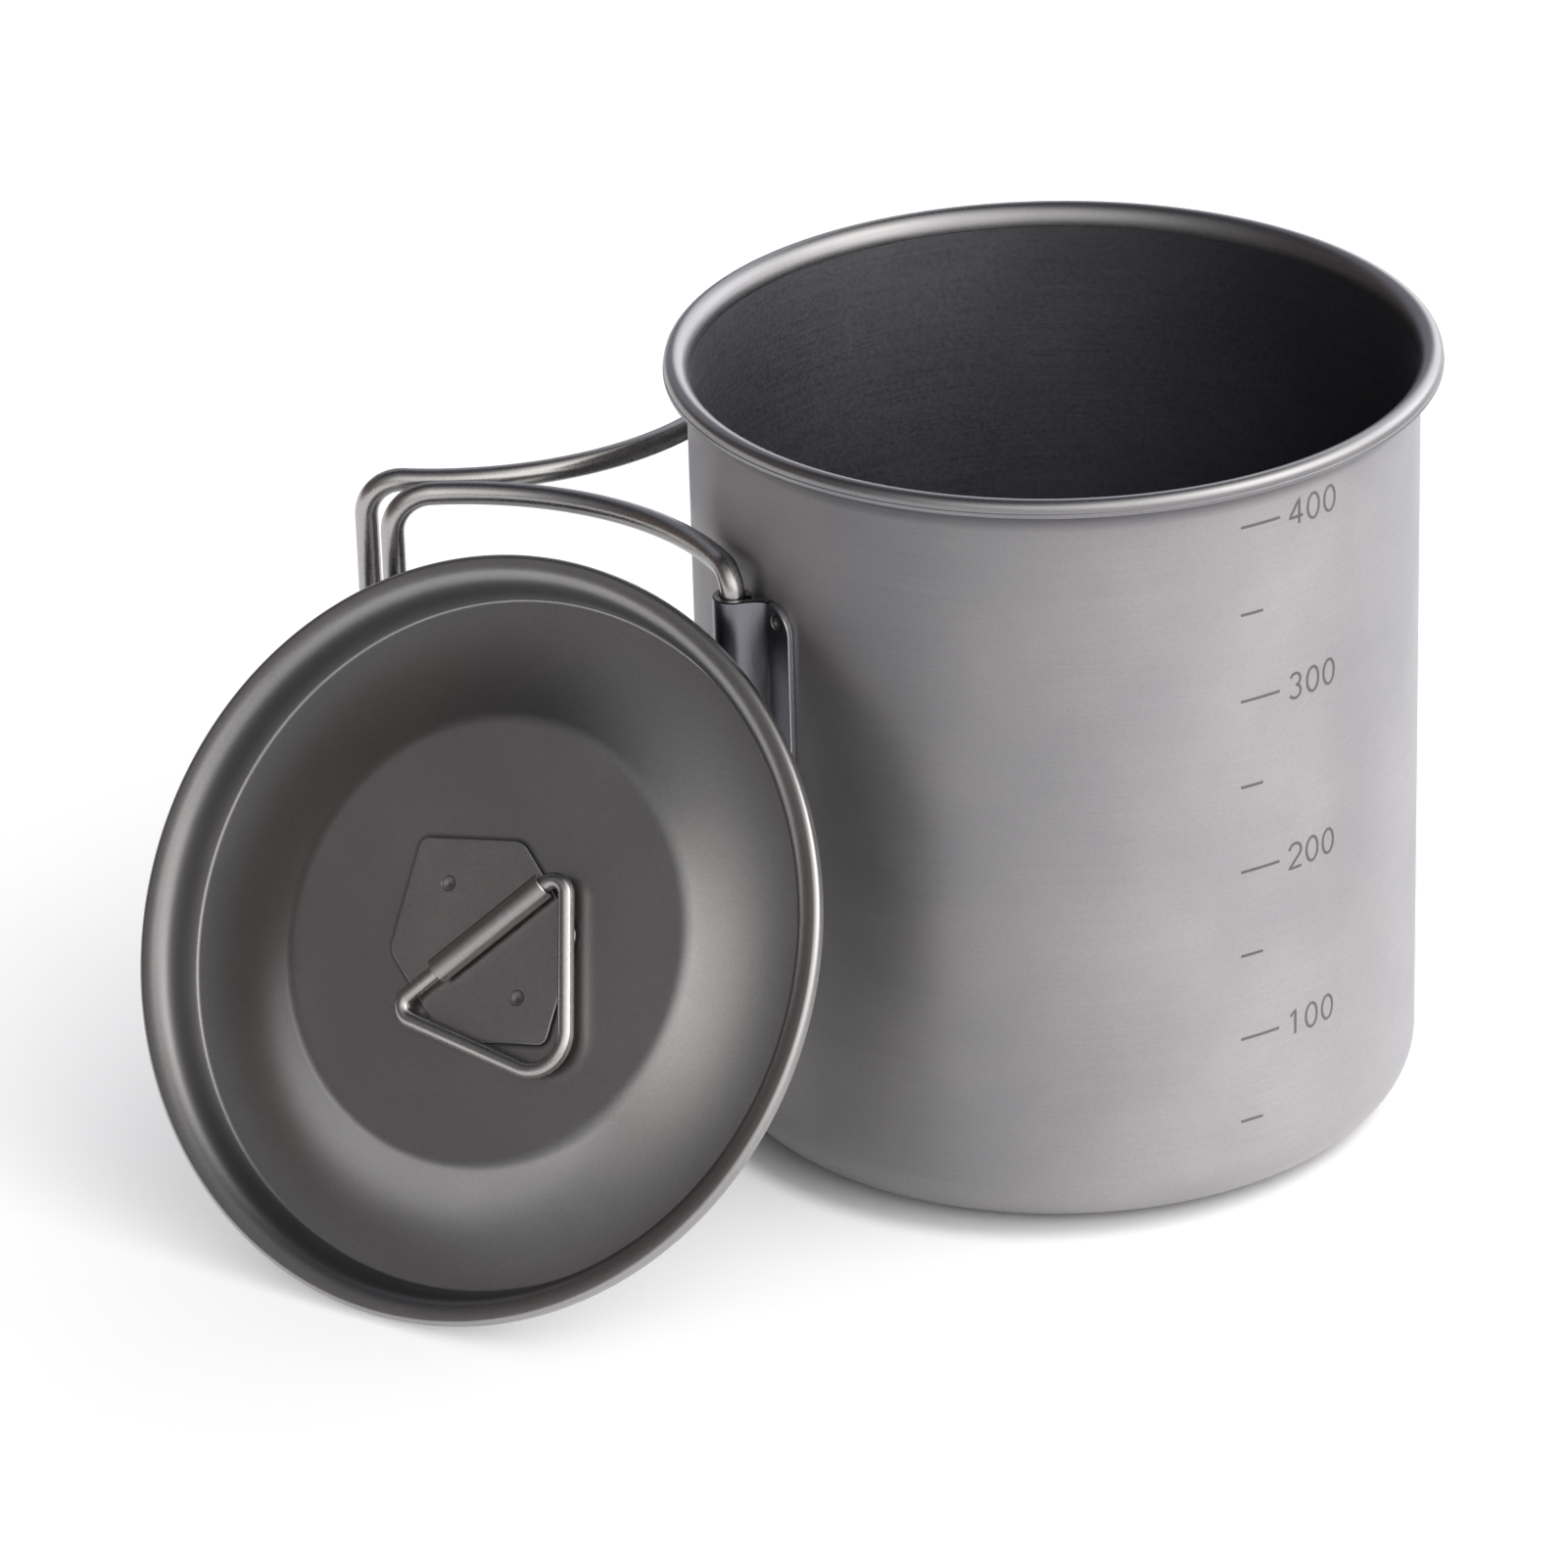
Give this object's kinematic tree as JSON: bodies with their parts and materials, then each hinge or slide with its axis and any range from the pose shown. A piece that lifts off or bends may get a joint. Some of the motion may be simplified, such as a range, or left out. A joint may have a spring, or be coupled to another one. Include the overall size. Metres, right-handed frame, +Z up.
{
  "type": "camping cook pot with lid",
  "caption": "Thin-walled metal camping pot with a curled lip, folding wire handles in welded barrel brackets and a loose drop-in lid with a swinging wire loop.",
  "frame": {"origin": "centre of the pot's flat base, on the ground", "axes": "+Z up along the pot's axis, -X towards the folding handles, -Y towards the viewer and the leaning lid"},
  "size_m": [0.1446, 0.1063, 0.0884],
  "materials": {
    "titanium_pot": "matte, fine horizontal brushing",
    "titanium_lid": "matte, fine blasted grain",
    "titanium_sheet": "matte, pressed",
    "titanium_wire": "satin, drawn"
  },
  "bodies": {
    "pot": {"pot_body": "titanium_pot", "front_bracket": "titanium_sheet", "rear_bracket": "titanium_sheet", "front_welds": "titanium_sheet", "rear_welds": "titanium_sheet"},
    "front_handle": {"front_handle": "titanium_wire"},
    "rear_handle": {"rear_handle": "titanium_wire"},
    "lid": {"lid_body": "titanium_lid", "lid_bracket": "titanium_sheet", "lid_welds": "titanium_sheet"},
    "loop": {"lid_loop": "titanium_wire"}
  },
  "joints": [
    {"name": "lid_slide", "type": "slide", "parent": "pot", "child": "lid", "axis": [-0.5402, -0.8415, 0], "range_m": [0, 0.16]},
    {"name": "front_handle_hinge", "type": "hinge", "parent": "pot", "child": "front_handle", "pos_m": [-0.03579, -0.02289, 0.0481], "axis": [0, 0, 1], "range_deg": [0, 185]},
    {"name": "rear_handle_hinge", "type": "hinge", "parent": "pot", "child": "rear_handle", "pos_m": [-0.03579, 0.02289, 0.0481], "axis": [0, 0, -1], "range_deg": [0, 177]},
    {"name": "lid_loop_hinge", "type": "hinge", "parent": "lid", "child": "loop", "pos_m": [-0.06454, -0.0338, 0.03547], "axis": [-0.7648, 0.0108, -0.6442], "range_deg": [0, 180]}
  ],
  "couplings": [
    {"joint": "front_handle_hinge", "follows": "lid_slide", "rad_per_m": 20.18}
  ]
}
